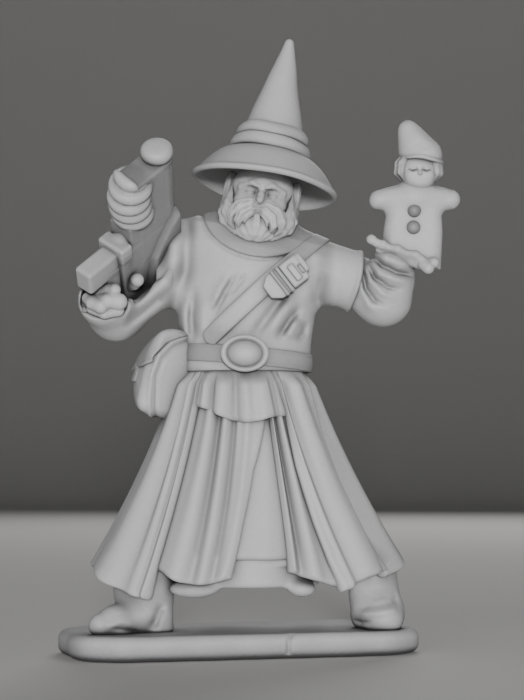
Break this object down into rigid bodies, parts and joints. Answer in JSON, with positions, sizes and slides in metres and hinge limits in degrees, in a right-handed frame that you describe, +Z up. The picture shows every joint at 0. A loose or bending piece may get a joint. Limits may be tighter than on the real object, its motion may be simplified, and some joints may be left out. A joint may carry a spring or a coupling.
{
  "type": "robed wizard miniature figure",
  "caption": "Unpainted resin miniature of a bearded wizard in a pointed hat and long robe, with a ray pistol in one hand and a small doll on the other, standing on a thin rounded base.",
  "frame": {"origin": "middle of the underside of the base, on the surface the figure stands on", "axes": "+Z up, -Y towards the viewer the figure faces, +X towards the figure's left hand; the base's length is turned 15 degrees about Z from +X towards +Y"},
  "size_m": [0.0244, 0.0148, 0.0385],
  "materials": {
    "grey_resin": "matt primed resin"
  },
  "bodies": {
    "root": {"base": "grey_resin", "right_boot": "grey_resin", "left_boot": "grey_resin", "underskirt": "grey_resin", "slip_front": "grey_resin", "wrap_panel": "grey_resin", "pleat_panel": "grey_resin", "coat_front_right": "grey_resin", "coat_front_left": "grey_resin", "coat_back": "grey_resin", "tunic_skirt": "grey_resin", "torso": "grey_resin", "collar": "grey_resin", "belt": "grey_resin", "buckle_frame": "grey_resin", "buckle_stone": "grey_resin", "satchel_strap": "grey_resin", "strap_tongue": "grey_resin", "strap_keepers": "grey_resin", "strap_brooch": "grey_resin", "satchel_bag": "grey_resin", "satchel_flap": "grey_resin", "satchel_toggle": "grey_resin", "head": "grey_resin", "hair": "grey_resin", "beard": "grey_resin", "moustache": "grey_resin", "hat_brim": "grey_resin", "hat_crown": "grey_resin", "hat_band_lower": "grey_resin", "hat_band_upper": "grey_resin", "right_sleeve": "grey_resin", "right_hand": "grey_resin", "pistol_receiver": "grey_resin", "pistol_side_plate": "grey_resin", "pistol_muzzle": "grey_resin", "pistol_ribs": "grey_resin", "pistol_magazine": "grey_resin", "pistol_magazine_collar": "grey_resin", "pistol_grip": "grey_resin", "left_sleeve": "grey_resin", "left_undersleeve": "grey_resin", "left_hand": "grey_resin", "doll_body": "grey_resin", "doll_head": "grey_resin", "doll_hair": "grey_resin", "doll_cap": "grey_resin", "doll_buttons": "grey_resin"}
  },
  "joints": []
}
